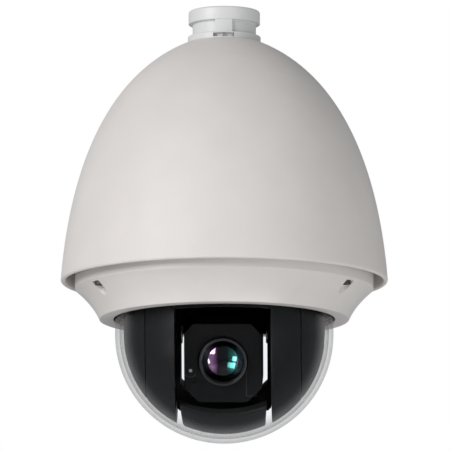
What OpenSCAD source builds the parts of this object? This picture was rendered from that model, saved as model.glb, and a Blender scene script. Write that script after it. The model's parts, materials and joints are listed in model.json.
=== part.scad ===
// Pendant pan-tilt-zoom dome camera for outdoor use.
// The origin is the centre of the top face of the mounting neck, +Z is up, and -Y is the front.
// Depths are measured down from that top face, and the clear dome is the lowest piece.

/* [Sun shield] */
// How far the sun shield's rim stands out past the lower cover, on the radius
rim_reach = 9.6; // [8:0.1:12]
// Depth of the sun shield's rim below the top face
shield_depth = 185; // [175:1:225]
// Wall thickness of the sun shield
shield_wall = 3.2; // [2.5:0.1:4]
// Air gap between the sun shield and the housing inside it
air_gap = 9.8; // [8:0.1:14]

/* [Mounting neck] */
// Outside diameter of the top ring, a one and a half inch pipe size
ring_d = 48.2; // [40:0.1:58]
// Height of the top ring
ring_h = 9; // [6:0.5:12]
// Radius of the rounded upper edge of the top ring
ring_edge = 1.6; // [0.5:0.1:2]
// Depth of the groove under the top ring, on the radius
groove_depth = 2.7; // [1.5:0.1:4]
// Height of the groove
groove_h = 8.4; // [6:0.2:12]
// Height of the collar that rests on the sun shield
collar_h = 4.6; // [4:0.1:7]
// How far the collar stands out past the top ring
collar_lip = 0.5; // [0:0.1:2]
// Diameter of the cable passage through the neck
passage_d = 29; // [20:0.5:30]
// Width of the two keys that bridge the groove
key_w = 12; // [8:0.5:16]
// Diameter of the two lock screws
lock_screw_d = 2.4; // [2:0.1:2.8]

/* [Housing] */
// Wall thickness of the cast housing
housing_wall = 3; // [2.5:0.1:4]
// Thickness of the housing's bottom flange
flange_t = 4; // [3:0.5:6]
// Thickness of the flat sealing gaskets
gasket_t = 1; // [0.8:0.1:1.5]

/* [Lower cover] */
// How far the lower cover flares out from its flat ring to its upright wall, on the radius
flare_w = 16.5; // [14:0.1:20]
// Height of the flared part of the lower cover
flare_h = 20.9; // [17:0.1:25]
// Wall thickness of the lower cover
cover_wall = 3; // [2.5:0.1:3.6]
// Width of the flat ring round the dome opening
face_ring_w = 9.6; // [8.5:0.1:11.5]
// Number of captive cover screws
cover_screws_n = 3; // [3:1:5]
// Diameter of the screw pockets
pocket_d = 8.6; // [8:0.1:9.4]
// Diameter of the cover screws
cover_screw_d = 4; // [3:0.5:4.5]

/* [Dome] */
// Outside diameter of the clear dome
dome_d = 146.8; // [144:0.1:178]
// Wall thickness of the clear dome
dome_wall = 3; // [2:0.1:3.5]
// Depth of the dome's centre and of the tilt axis below the cover's lower face
axis_drop = 9.9; // [8:0.1:12]
// Clearance round the dome in the cover's opening
dome_clear = 0.9; // [0.5:0.1:1.2]
// Number of screws in the dome's clamp ring
clamp_screws_n = 6; // [4:1:8]

/* [Pan drive] */
// Thickness of the fixed base plate
base_t = 3; // [2.5:0.5:4]
// Height of the turntable's underside above the tilt axis
turntable_rise = 46; // [45:0.1:48]
// Thickness of the turntable
turntable_t = 4; // [3:0.5:5]
// Bore radius of the pan bearing
pan_bearing_r = 17.5; // [16:0.5:21]
// Radial depth of the pan bearing
bearing_depth = 6; // [5.6:0.1:7]
// Height of the pan bearing
pan_bearing_h = 7; // [6:0.5:8]
// Tooth pitch of both timing belts
belt_pitch = 3; // [2.5:0.1:3.2]
// Teeth on the pan pulley
pan_teeth = 60; // [54:1:64]
// Teeth on the pan motor's pulley
pan_motor_teeth = 15; // [12:1:18]
// Distance between the pan axis and the pan motor's shaft
pan_motor_y = 56; // [52:1:60]
// Width of the timing belts
belt_w = 5; // [4:0.5:6]

/* [Moving shroud] */
// Gap between the dome's inner face and the black shroud
shroud_gap = 2.8; // [2:0.1:5]
// Wall thickness of the shroud
shroud_wall = 2.2; // [1.6:0.1:2.8]
// Clearance between the camera's cradle and each cheek of the shroud
slot_clear = 0.5; // [0.4:0.1:1.5]
// Distance of the parting line of the side caps from the middle
cap_x = 52; // [50:0.5:56]

/* [Camera head] */
// Width of the camera block
block_w = 52; // [46:0.1:63]
// Height of the camera block above the tilt axis
block_up = 13.2; // [10:0.1:15]
// Height of the camera block below the tilt axis
block_down = 39.6; // [34:0.1:41]
// Distance of the face in front of the tilt axis
face_y = 45; // [40:0.5:46]
// Distance of the back behind the tilt axis
back_y = 38; // [32:0.5:39]
// Thickness of the block's plastic walls
block_wall = 1.8; // [1.4:0.1:2.4]
// Distance of the lens axis below the tilt axis
lens_drop = 12; // [9:0.1:13]
// Outside diameter of the lens barrel
lens_d = 32; // [31:0.1:38.4]
// Diameter of the front lens
front_lens_d = 28; // [22:0.5:29]
// Angle that the camera looks down at rest
rest_tilt = 16; // [5:1:30]
// Width of the chin cover
chin_w = 58; // [54:0.5:60]
// Angle of the chin's lip below the lens axis
chin_start = 45; // [43:1:48]
// Angle that the chin covers
chin_sweep = 51; // [40:1:51]
// Teeth on the tilt pulley
tilt_teeth = 32; // [28:1:33]
// Teeth on the tilt motor's pulley
tilt_motor_teeth = 12; // [10:1:14]
// Height of the tilt motor's shaft above the tilt axis
tilt_motor_up = 24; // [23:0.5:25]

/* [Hidden] */
$fn = 96;
eps = 0.01;
big = 400;

white = [0.85, 0.83, 0.81];
neck_grey = [0.82, 0.82, 0.82];
cast_grey = [0.55, 0.56, 0.58];
black = [0.10, 0.10, 0.11];
steel = [0.62, 0.63, 0.65];
rubber_black = [0.05, 0.05, 0.05];
board_green = [0.08, 0.32, 0.16];

// Neck: the stack of heights under the top face
ring_r = ring_d / 2;
groove_r = ring_r - groove_depth;
collar_r = ring_r + collar_lip;
passage_r = passage_d / 2;
z_groove_top = -ring_h;
z_collar_top = z_groove_top - groove_h;
z_collar = z_collar_top - collar_h;
spigot_r = ring_r - 4.8;
spigot_clear = 0.3;
lock_recess_w = 14;
lock_recess_h = 2.6;
lock_recess_depth = 2.4;
key_set = 0.6;

// Dome opening, the lower cover round it and the sun shield outside that
dome_r = dome_d / 2;
dome_in_r = dome_r - dome_wall;
opening_r = dome_r + dome_clear;
face_out_r = opening_r + face_ring_w;
cover_r = face_out_r + flare_w;
shield_r = cover_r + rim_reach;

// Sun shield: one cubic curve from the collar to the rim
rim_round = shield_wall / 2;
shield_top = [collar_r + 0.3, z_collar + 0.2];
shield_rim = [shield_r, -shield_depth + rim_round];
shield_fall = shield_top[1] - shield_rim[1];
shoulder_reach = 0.669;
shoulder_fall = 0.1445;
side_reach = 0.934;
side_fall = 0.561;
curve_steps = 28;

// Housing: the same curve set inwards, with a flange at its foot
housing_set = shield_wall + air_gap;
housing_r = shield_r - housing_set;
housing_slack = 0.6;
cover_in_r = cover_r - cover_wall;
shoulder_depth = shield_depth + 4.5;
z_shoulder = -shoulder_depth;
z_face = z_shoulder - flare_h;
ledge_t = 2.4;
z_ledge = z_shoulder + 2.5;
z_flange = z_ledge + gasket_t;
flange_out_r = cover_in_r - housing_slack;
ledge_w = 11;
ledge_in_r = cover_in_r - ledge_w;
z_skirt_top = z_shoulder + 17;
z_housing_foot = z_flange + flange_t;
z_spigot_seat = z_collar - shield_wall - air_gap + 1;
z_boss_floor = z_spigot_seat - housing_wall - 2;
neck_nut_h = 6;
neck_nut_r = passage_r + 10;
z_neck_end = z_boss_floor - neck_nut_h - 2;
spigot_lower_r = passage_r + 2.8;

// Dome seat and clamp
z_axis = z_face - axis_drop;
z_face_in = z_face + cover_wall;
dome_flange_w = 3.6;
dome_flange_r = dome_r + dome_flange_w;
z_dome_flange = z_face_in + gasket_t;
z_clamp = z_dome_flange + dome_wall;
clamp_t = 3;
clamp_screw_r = 1.5;
clamp_circle_r = dome_flange_r + 0.4 + 2.6;
clamp_boss_r = 2.6;
clamp_out_r = clamp_circle_r + 2.6;
drain_hole_r = 1.25;
drain_angle = 81;

// Cover screws in their pockets
pocket_r = pocket_d / 2;
pocket_wall = 2.4;
cover_circle_r = cover_r - 1.6 - pocket_r;
z_pocket = z_shoulder - 1.5;
screw_head_h = 2.6;
screw_fit = 0.05;

// Base plate, boards and what stands on it
z_table = z_axis + turntable_rise;
z_table_top = z_table + turntable_t;
drive_gap = 1.5;
drive_h = belt_w + 2;
z_pan_pulley = z_table_top + drive_gap;
z_base = z_pan_pulley + drive_h + drive_gap;
z_base_top = z_base + base_t;
table_r = 66;
base_r = housing_r - housing_wall - 5;
bearing_out_r = pan_bearing_r + bearing_depth;
bearing_boss_r = bearing_out_r + 4;
bearing_lip = 2;
race_t = (bearing_depth - 2.6) / 2;
ball_r = 1.2;
ball_circle_r = pan_bearing_r + bearing_depth / 2;
ball_n = 24;
hub_in_r = 12;
post_circle_r = 62;
post_r = 3;
post_h = 40;
second_post_h = 20;
board_t = 1.6;
power_board_r = 70;
main_board_r = 66;
base_post_r = 4.5;
base_post_circle = base_r - 6;
z_power = z_base_top + post_h;
z_main = z_power + board_t + second_post_h;
fan_x = -60;
fan_w = 40;
fan_h = 10;
fan_blade_r = 18;
fan_blades_n = 7;
fan_hub_r = 8;
fan_gap = 0.8;
heater_x = 60;
motor_r = 17.5;
motor_h = 26;
motor_rotor_r = 11;
motor_rotor_h = 17;
motor_wall = 3;
rotor_clear = 0.5;
shaft_r = 2.5;
run_fit = 0.06;
slip_r = 11;
slip_h = 24;
slip_rotor_r = 5;

// Belts run on the tips of the pulley teeth
pan_pulley_r = pan_teeth * belt_pitch / (2 * PI);
pan_motor_pulley_r = pan_motor_teeth * belt_pitch / (2 * PI);
tilt_pulley_r = tilt_teeth * belt_pitch / (2 * PI);
tilt_motor_pulley_r = tilt_motor_teeth * belt_pitch / (2 * PI);
belt_t = 1.2;
belt_gap = 0.15;
tooth_cut_r = belt_pitch * 0.27;

// Shroud and yoke
shroud_r = dome_in_r - shroud_gap;
shroud_in_r = shroud_r - shroud_wall;
z_shroud_top = z_table - 5.7;
z_bridge = z_face_in - 4;
frame_t = 2;
frame_in_r = 55;
part_gap = 0.15;
cradle_gap = 3.2;
cradle_t = 2.4;
cradle_in = block_w / 2 + cradle_gap;
cradle_out = cradle_in + cradle_t;
slot_half = cradle_out + slot_clear;
arm_in = slot_half + 2.9;
arm_t = 3;
arm_out = arm_in + arm_t;
arm_w = 30;
bushing_r = 7.5;
pin_r = 4;
tilt_pulley_x = arm_out + 1.2;
tilt_motor_x = tilt_pulley_x + belt_w + 2.2;
tilt_motor_r = 12;
tilt_motor_h = 11.5;
tilt_shaft_r = 1.5;
tilt_rotor_r = 8;
tilt_rotor_h = 6.5;
tilt_motor_wall = 1.5;
pin_end_x = tilt_pulley_x + belt_w + 1;

// Camera head
cradle_foot_t = 9;
cradle_corner = 2;
cradle_brace = 7.2;
cradle_front = 22;
cradle_back = 20;
corner_low = 9.8;
corner_left = 6.2;
corner_right = 7.4;
face_t = 2.4;
case_y = 12;
chin_clear = 0.6;
chin_r = shroud_r - chin_clear;
chin_t = 2.5;
chin_in_r = norm([block_w / 2 - corner_low, face_y, block_down]) + 0.4;
chin_lip_angle = 3;
chin_taper = 1.5;
chin_post_x = 12;
chin_post_y = -10;
chin_post_r = 3;
lens_r = lens_d / 2;
front_lens_r = front_lens_d / 2;
lens_out = 4.4;
barrel_back = 12;
barrel_in_r = 12;
barrel_wall = 2;
sensor_y = 6;
sensor_t = 1.6;
sensor_board_half = 20;
rod_r = 0.8;
rod_x = 9.6;
cell_r = 11.6;

// Point on the sun shield's curve at t, set inwards by s
function curve(a, b, c, d, t) =
    pow(1 - t, 3) * a + 3 * pow(1 - t, 2) * t * b + 3 * (1 - t) * t * t * c + pow(t, 3) * d;
function slope(a, b, c, d, t) =
    3 * pow(1 - t, 2) * (b - a) + 6 * (1 - t) * t * (c - b) + 3 * t * t * (d - c);
shoulder_pt = [
    shield_top[0] + (shield_r - shield_top[0]) * shoulder_reach,
    shield_top[1] - shield_fall * shoulder_fall
];
side_pt = [
    shield_top[0] + (shield_r - shield_top[0]) * side_reach,
    shield_top[1] - shield_fall * side_fall
];
function shell_pt(t, s) =
    let (p = curve(shield_top, shoulder_pt, side_pt, shield_rim, t))
    let (v = slope(shield_top, shoulder_pt, side_pt, shield_rim, t))
    p + s * [v[1], -v[0]] / norm(v);
function shell_line(s, first) = [for (i = [first:curve_steps]) shell_pt(i / curve_steps, s)];
function above(list, z) = [for (p = list) if (p[1] > z) p];
function below(list, z) = [for (p = list) if (p[1] < z) p];
function reversed(list) = [for (i = [len(list) - 1:-1:0]) list[i]];

// Point on the lower cover's flare at t, set inwards by s
flare_a = [cover_r, z_shoulder];
flare_c = [face_out_r, z_face];
flare_b = [
    face_out_r + 0.27 * (cover_r - face_out_r),
    z_shoulder - 0.49 * flare_h
];
function flare_pt(t, s) =
    let (p = pow(1 - t, 2) * flare_a + 2 * (1 - t) * t * flare_b + t * t * flare_c)
    let (v = (1 - t) * (flare_b - flare_a) + t * (flare_c - flare_b))
    p + s * [v[1], -v[0]] / norm(v);
function flare_line(s, last) = [for (i = [0:last]) flare_pt(i / 14, s)];

module ring(r_out, r_in, z_low, z_high) {
    translate([0, 0, z_low])
        difference() {
            cylinder(r = r_out, h = z_high - z_low);
            translate([0, 0, -1])
                cylinder(r = r_in, h = z_high - z_low + 2);
        }
}

module around(n, r, first = 0) {
    for (i = [0:n - 1])
        rotate([0, 0, first + i * 360 / n])
            translate([r, 0, 0])
                children();
}

// Places a piece that is drawn with its axis up so that the axis runs along X
module along_x(x) {
    translate([x, 0, z_axis])
        rotate([0, 90, 0])
            children();
}

// The camera's own axes, turned down by the rest angle about the tilt axis
module camera_frame() {
    translate([0, 0, z_axis])
        rotate([rest_tilt, 0, 0])
            children();
}

// Places a piece that is drawn with its axis up on the lens axis, with up facing the back
module on_lens_axis(y) {
    camera_frame()
        translate([0, y, -lens_drop])
            rotate([-90, 0, 0])
                children();
}

// ---------------------------------------------------------------- mounting neck and shield

module mount_neck() {
    color(neck_grey)
        difference() {
            union() {
                rotate_extrude() {
                    translate([0, z_groove_top])
                        square([ring_r, ring_h - ring_edge]);
                    translate([0, -ring_edge])
                        square([ring_r - ring_edge, ring_edge]);
                    translate([ring_r - ring_edge, -ring_edge])
                        circle(r = ring_edge);
                    translate([0, z_collar_top])
                        square([groove_r, groove_h]);
                    translate([0, z_collar])
                        square([collar_r, collar_h]);
                    translate([0, z_spigot_seat])
                        square([spigot_r, z_collar - z_spigot_seat]);
                    translate([0, z_neck_end])
                        square([spigot_lower_r, z_spigot_seat - z_neck_end]);
                }
                neck_keys();
            }
            translate([0, 0, z_neck_end - 1])
                cylinder(r = passage_r, h = 1 - z_neck_end + 1);
            lock_recesses();
            for (side = [-1, 1])
                lock_screw_shape(side, screw_fit);
        }
}

module neck_keys() {
    intersection() {
        translate([0, 0, z_collar_top - eps])
            cylinder(r = ring_r - key_set, h = groove_h + 2 * eps);
        translate([-key_w / 2, -ring_r - 1, z_collar_top - eps])
            cube([key_w, 2 * ring_r + 2, groove_h + 2 * eps]);
    }
}

module lock_recesses() {
    for (side = [-1, 1])
        translate([
            -lock_recess_w / 2,
            side > 0 ? collar_r - lock_recess_depth : -collar_r - 1,
            z_collar + (collar_h - lock_recess_h) / 2
        ])
            cube([lock_recess_w, lock_recess_depth + 1, lock_recess_h]);
}

module lock_screw_shape(side, extra) {
    translate([0, side * (passage_r + 2), z_collar + collar_h / 2])
        rotate([-side * 90, 0, 0])
            cylinder(r = lock_screw_d / 2 + extra, h = collar_r - passage_r - 2 - lock_recess_depth + 1.6);
}

module lock_screws() {
    color(steel)
        for (side = [-1, 1])
            lock_screw_shape(side, 0);
}

module neck_nut() {
    color(steel)
        translate([0, 0, z_boss_floor - neck_nut_h])
            difference() {
                cylinder(r = neck_nut_r, h = neck_nut_h, $fn = 6);
                translate([0, 0, -1])
                    cylinder(r = spigot_lower_r + screw_fit, h = neck_nut_h + 2);
            }
}

module shield_spacer() {
    z_under_shield = shell_pt(1 / curve_steps, shield_wall)[1];
    color(rubber_black)
        ring(spigot_r + spigot_clear + 3, spigot_r + spigot_clear, z_spigot_seat + 2.4, z_under_shield);
}

module cable_gland() {
    color(rubber_black)
        difference() {
            union() {
                translate([0, 0, z_neck_end - 3])
                    cylinder(r = passage_r + 1.5, h = 3);
                translate([0, 0, z_neck_end - 12])
                    cylinder(r1 = 5.5, r2 = 9, h = 9);
            }
            translate([0, 0, z_neck_end - 13])
                cylinder(r = 3.5, h = 14);
        }
}

module sun_shield() {
    color(white)
        rotate_extrude()
            polygon(concat(
                [[spigot_r + spigot_clear, z_collar], [collar_r + 0.1, z_collar]],
                shell_line(0, 0),
                [for (a = [15:15:165]) shield_rim + rim_round * [cos(a) - 1, -sin(a)]],
                reversed(shell_line(shield_wall, 1)),
                [[spigot_r + spigot_clear, shell_pt(0, shield_wall)[1]]]
            ));
}

// ---------------------------------------------------------------- housing and lower cover

module inner_housing() {
    color(cast_grey)
        difference() {
            union() {
                rotate_extrude()
                    polygon(concat(
                        [[spigot_lower_r + spigot_clear, z_spigot_seat]],
                        [[spigot_r + 5, z_spigot_seat]],
                        above(shell_line(housing_set, 3), z_housing_foot + 1),
                        [[housing_r, z_housing_foot], [flange_out_r, z_housing_foot]],
                        [[flange_out_r, z_flange], [ledge_in_r, z_flange]],
                        [[ledge_in_r, z_housing_foot], [housing_r - housing_wall, z_housing_foot]],
                        reversed(above(shell_line(housing_set + housing_wall, 4), z_housing_foot + 1)),
                        [[spigot_r + 7, z_boss_floor], [spigot_lower_r + spigot_clear, z_boss_floor]]
                    ));
                housing_posts();
            }
            around(4, base_post_circle, 45)
                translate([0, 0, z_base_top - eps])
                    cylinder(r = 1.5 + screw_fit, h = 12);
            around(cover_screws_n, cover_circle_r, 90)
                translate([0, 0, z_flange - 1])
                    cylinder(r = cover_screw_d / 2 + screw_fit, h = flange_t + 2);
        }
}

// Posts cast on the inside of the wall, which the base plate is screwed to
module housing_posts() {
    intersection() {
        around(4, base_post_circle, 45)
            translate([0, 0, z_base_top]) {
                cylinder(r = base_post_r, h = 70);
                translate([0, -2, 0])
                    cube([14, 4, 70]);
            }
        rotate_extrude()
            polygon(concat(
                [[0, z_spigot_seat - 8]],
                above(shell_line(housing_set + 0.5, 6), z_housing_foot + 1),
                [[0, z_housing_foot]]
            ));
    }
}

module housing_gasket() {
    color(rubber_black)
        difference() {
            ring(flange_out_r, ledge_in_r, z_ledge, z_flange);
            around(cover_screws_n, cover_circle_r, 90)
                translate([0, 0, z_ledge - 1])
                    cylinder(r = cover_screw_d / 2 + 0.4, h = gasket_t + 2);
        }
}

module lower_cover() {
    color(white)
        difference() {
            union() {
                rotate_extrude()
                    polygon(concat(
                        [[cover_in_r, z_skirt_top], [cover_r, z_skirt_top]],
                        flare_line(0, 14),
                        [[opening_r, z_face], [opening_r, z_face_in]],
                        [[flare_pt(12 / 14, cover_wall)[0], z_face_in]],
                        reversed(below(flare_line(cover_wall, 12), z_ledge - ledge_t - 0.5)),
                        [[cover_in_r, z_ledge - ledge_t], [ledge_in_r, z_ledge - ledge_t]],
                        [[ledge_in_r, z_ledge], [cover_in_r, z_ledge]]
                    ));
                screw_bosses();
                around(clamp_screws_n, clamp_circle_r, 30)
                    translate([0, 0, z_face_in - 1])
                        cylinder(r = clamp_boss_r, h = z_clamp - z_face_in + 1);
            }
            around(cover_screws_n, cover_circle_r, 90) {
                translate([0, 0, z_face - 10])
                    cylinder(r = pocket_r, h = z_pocket - z_face + 10);
                translate([0, 0, z_pocket - 1])
                    cylinder(r = cover_screw_d / 2 + 0.3, h = z_ledge - z_pocket + 2);
            }
            around(clamp_screws_n, clamp_circle_r, 30)
                translate([0, 0, z_face + 1.2])
                    cylinder(r = clamp_screw_r + screw_fit, h = 20);
            for (side = [-1, 1])
                rotate([0, 0, -90 + side * drain_angle])
                    translate([face_out_r - 2.6, 0, z_face - 1])
                        cylinder(r = drain_hole_r, h = cover_wall + 2);
        }
}

module screw_bosses() {
    intersection() {
        around(cover_screws_n, cover_circle_r, 90)
            translate([0, 0, z_face])
                cylinder(r = pocket_r + pocket_wall, h = z_ledge - z_face);
        rotate_extrude()
            polygon(concat(
                [[0, z_ledge], [cover_r - 1, z_ledge], [cover_r - 1, z_shoulder]],
                flare_line(0.5, 13),
                [[0, flare_pt(13 / 14, 0.5)[1]]]
            ));
    }
}

module cover_screws() {
    color(steel)
        around(cover_screws_n, cover_circle_r, 90)
            difference() {
                union() {
                    translate([0, 0, z_pocket - screw_head_h])
                        cylinder(r = cover_screw_d / 2 + 1.5, h = screw_head_h);
                    translate([0, 0, z_pocket])
                        cylinder(r = cover_screw_d / 2, h = z_flange - z_pocket + flange_t - 0.5);
                }
                translate([0, 0, z_pocket - screw_head_h - 1])
                    cylinder(r = 1.4, h = 2.6, $fn = 6);
            }
}

// ---------------------------------------------------------------- dome

module dome_bubble() {
    color([0.9, 0.93, 0.95, 0.35])
        translate([0, 0, z_axis])
            rotate_extrude()
                difference() {
                    union() {
                        intersection() {
                            circle(r = dome_r);
                            translate([0, -big])
                                square([big, big]);
                        }
                        square([dome_r, z_clamp - z_axis]);
                        translate([0, z_dome_flange - z_axis])
                            square([dome_flange_r, dome_wall]);
                    }
                    circle(r = dome_in_r);
                    translate([-eps, 0])
                        square([dome_in_r + eps, z_clamp - z_axis + 1]);
                    translate([-big, -big])
                        square([big, 2 * big]);
                }
}

module dome_gasket() {
    color(rubber_black)
        ring(dome_flange_r, opening_r + 0.2, z_face_in, z_dome_flange);
}

module dome_clamp_ring() {
    color(black)
        difference() {
            ring(clamp_out_r, dome_in_r + 0.6, z_clamp, z_clamp + clamp_t);
            around(clamp_screws_n, clamp_circle_r, 30)
                translate([0, 0, z_clamp - 1])
                    cylinder(r = clamp_screw_r + 0.2, h = clamp_t + 2);
        }
}

module clamp_screws() {
    color(steel)
        around(clamp_screws_n, clamp_circle_r, 30) {
            translate([0, 0, z_face + 1.4])
                cylinder(r = clamp_screw_r, h = z_clamp + clamp_t - z_face - 1.4);
            translate([0, 0, z_clamp + clamp_t])
                cylinder(r = 2.6, h = 1.8);
        }
}

// ---------------------------------------------------------------- base plate and electronics

module base_plate() {
    color(cast_grey)
        difference() {
            union() {
                translate([0, 0, z_base])
                    cylinder(r = base_r, h = base_t);
                translate([0, 0, z_base])
                    cylinder(r = bearing_boss_r, h = bearing_lip + pan_bearing_h);
            }
            translate([0, 0, z_base - 1])
                cylinder(r = bearing_out_r - 1, h = 20);
            translate([0, 0, z_base + bearing_lip])
                cylinder(r = bearing_out_r, h = 20);
            around(4, base_post_circle, 45)
                translate([0, 0, z_base - 1])
                    cylinder(r = 1.7, h = base_t + 2);
            translate([0, pan_motor_y, z_base - 1])
                cylinder(r = pan_motor_pulley_r + 1, h = base_t + 2);
            translate([fan_x, 0, z_base - 1])
                cylinder(r = fan_blade_r + fan_gap, h = base_t + 2);
        }
}

module base_screws() {
    color(steel)
        around(4, base_post_circle, 45) {
            translate([0, 0, z_base])
                cylinder(r = 1.5, h = base_t + 10);
            translate([0, 0, z_base - 1.8])
                cylinder(r = 2.8, h = 1.8);
        }
}

module board_standoffs() {
    color(steel)
        around(4, post_circle_r, 45) {
            translate([0, 0, z_base_top])
                cylinder(r = post_r, h = post_h, $fn = 6);
            translate([0, 0, z_power + board_t])
                cylinder(r = post_r, h = second_post_h, $fn = 6);
            translate([0, 0, z_power])
                cylinder(r = 1.2, h = board_t);
        }
}

module round_board(r, z) {
    difference() {
        translate([0, 0, z])
            cylinder(r = r, h = board_t);
        around(4, post_circle_r, 45)
            translate([0, 0, z - 1])
                cylinder(r = 1.2 + screw_fit, h = board_t + 2);
    }
}

module power_board() {
    color(board_green)
        round_board(power_board_r, z_power);
}

module capacitors() {
    color([0.1, 0.1, 0.3])
        for (x = [-40:16:8])
            translate([x, -34, z_power + board_t])
                cylinder(r = 5, h = 14);
}

module main_board() {
    color(board_green)
        round_board(main_board_r, z_main);
}

module main_chips() {
    color(black)
        translate([0, 0, z_main + board_t]) {
            translate([-14, -14, 0])
                cube([28, 28, 2.2]);
            for (x = [-34, 24])
                translate([x, -6, 0])
                    cube([10, 14, 1.2]);
            translate([-12, 30, 0])
                cube([24, 12, 11]);
        }
}

module fan_frame() {
    color(black)
        difference() {
            translate([fan_x - fan_w / 2, -fan_w / 2, z_base_top])
                cube([fan_w, fan_w, fan_h]);
            translate([fan_x, 0, z_base_top - 1])
                difference() {
                    cylinder(r = fan_blade_r + fan_gap, h = fan_h + 2);
                    translate([0, 0, fan_h])
                        for (i = [0:3])
                            rotate([0, 0, 45 + 90 * i])
                                translate([0, -1, -0.6])
                                    cube([fan_blade_r + 2, 2, 1.6]);
                    translate([0, 0, fan_h - 0.6])
                        cylinder(r = fan_hub_r, h = 1.6);
                    cylinder(r = 1.4, h = fan_h);
                }
            for (x = [-16, 16])
                for (y = [-16, 16])
                    translate([fan_x + x, y, z_base_top - 1])
                        cylinder(r = 1.6, h = fan_h + 2);
        }
}

module fan_rotor() {
    color([0.2, 0.2, 0.22])
        translate([fan_x, 0, z_base_top + 0.6])
            difference() {
                union() {
                    cylinder(r = fan_hub_r - 0.4, h = fan_h - 2.6);
                    intersection() {
                        cylinder(r = fan_blade_r, h = fan_h - 2.6);
                        for (i = [0:fan_blades_n - 1])
                            rotate([0, 0, i * 360 / fan_blades_n])
                                translate([fan_hub_r - 2, 0, (fan_h - 2.6) / 2])
                                    rotate([32, 0, 0])
                                        translate([0, -5.5, -0.5])
                                            cube([fan_blade_r, 11, 1]);
                    }
                }
                translate([0, 0, -1])
                    cylinder(r = 1.4 + run_fit, h = fan_h);
            }
}

module heater() {
    color(cast_grey)
        translate([heater_x - 14, -20, z_base_top]) {
            cube([28, 40, 3]);
            for (x = [1:4.8:26])
                translate([x, 0, 3 - eps])
                    cube([1.6, 40, 8]);
        }
}

// ---------------------------------------------------------------- pan drive

module pan_bearing_outer() {
    z = z_base + bearing_lip;
    color(steel)
        difference() {
            ring(bearing_out_r, bearing_out_r - race_t, z, z + pan_bearing_h);
            ball_groove();
        }
}

module pan_bearing_inner() {
    z = z_base + bearing_lip;
    color(steel)
        difference() {
            ring(pan_bearing_r + race_t, pan_bearing_r, z, z + pan_bearing_h);
            ball_groove();
        }
}

module ball_groove() {
    translate([0, 0, z_base + bearing_lip + pan_bearing_h / 2])
        rotate_extrude()
            translate([ball_circle_r, 0])
                circle(r = ball_r + run_fit);
}

module pan_bearing_balls() {
    color(steel)
        around(ball_n, ball_circle_r)
            translate([0, 0, z_base + bearing_lip + pan_bearing_h / 2])
                sphere(r = ball_r, $fn = 24);
}

module toothed_disc(teeth, r, h) {
    linear_extrude(height = h)
        difference() {
            circle(r = r);
            for (i = [0:teeth - 1])
                rotate(i * 360 / teeth)
                    translate([r, 0])
                        circle(r = tooth_cut_r, $fn = 16);
        }
}

// Belt line round two pulleys, with the second one at distance c: two arcs joined by their tangents
module belt_area(r1, r2, c) {
    lean = acos((r1 - r2) / c);
    steps = 40;
    polygon(concat(
        [for (i = [0:steps]) let (a = lean + (360 - 2 * lean) * i / steps) r1 * [cos(a), sin(a)]],
        [for (i = [0:steps]) let (a = -lean + 2 * lean * i / steps) [c, 0] + r2 * [cos(a), sin(a)]]
    ));
}

module belt(r1, r2, c) {
    linear_extrude(height = belt_w)
        difference() {
            belt_area(r1 + belt_gap + belt_t, r2 + belt_gap + belt_t, c);
            belt_area(r1 + belt_gap, r2 + belt_gap, c);
        }
}

module pan_belt() {
    color(rubber_black)
        translate([0, 0, z_pan_pulley + 1])
            rotate([0, 0, 90])
                belt(pan_pulley_r, pan_motor_pulley_r, pan_motor_y);
}

module pan_pulley() {
    color(steel)
        difference() {
            translate([0, 0, z_table_top])
                union() {
                    cylinder(r = pan_bearing_r + 5, h = drive_gap);
                    translate([0, 0, drive_gap])
                        toothed_disc(pan_teeth, pan_pulley_r, drive_h);
                }
            translate([0, 0, z_table_top - 1])
                cylinder(r = pan_bearing_r, h = 20);
        }
}

module pan_motor() {
    color(black)
        difference() {
            translate([0, pan_motor_y, z_base_top])
                cylinder(r = motor_r, h = motor_h);
            translate([0, pan_motor_y, z_base_top - 1])
                cylinder(r = shaft_r + run_fit, h = motor_wall + 2);
            translate([0, pan_motor_y, z_base_top + motor_wall])
                cylinder(r = motor_rotor_r + rotor_clear, h = motor_h - 2 * motor_wall);
        }
}

module pan_motor_pulley() {
    color(steel)
        translate([0, pan_motor_y, z_pan_pulley]) {
            toothed_disc(pan_motor_teeth, pan_motor_pulley_r, drive_h);
            cylinder(r = shaft_r, h = z_base_top - z_pan_pulley + motor_h - motor_wall - rotor_clear);
            translate([0, 0, z_base_top - z_pan_pulley + motor_wall + rotor_clear])
                cylinder(r = motor_rotor_r, h = motor_rotor_h);
        }
}

module slip_ring_body() {
    z = z_base + bearing_lip + pan_bearing_h;
    color([0.25, 0.25, 0.27])
        difference() {
            union() {
                translate([0, 0, z])
                    cylinder(r = bearing_boss_r, h = 2);
                translate([0, 0, z])
                    cylinder(r = slip_r, h = slip_h);
            }
            translate([0, 0, z - 1])
                cylinder(r = slip_rotor_r + 0.3, h = slip_h - 2);
            translate([0, 0, z - 1])
                cylinder(r = bearing_out_r - race_t, h = 1.5);
        }
}

module slip_ring_rotor() {
    color([0.75, 0.62, 0.3])
        union() {
            translate([0, 0, z_table_top])
                cylinder(r = hub_in_r, h = 2);
            translate([0, 0, z_table_top])
                cylinder(r = slip_rotor_r, h = z_base - z_table_top + bearing_lip + pan_bearing_h + slip_h - 6);
        }
}

module turntable() {
    color(cast_grey)
        difference() {
            union() {
                translate([0, 0, z_table])
                    cylinder(r = table_r, h = turntable_t);
                translate([0, 0, z_table_top])
                    cylinder(r = pan_bearing_r, h = z_base + bearing_lip + pan_bearing_h - z_table_top);
            }
            translate([0, 0, z_table_top])
                cylinder(r = hub_in_r, h = 40);
            for (y = [-30, 30])
                translate([0, y, z_table - 1])
                    cylinder(r = 6, h = turntable_t + 2);
        }
}

// ---------------------------------------------------------------- yoke and shroud

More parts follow.
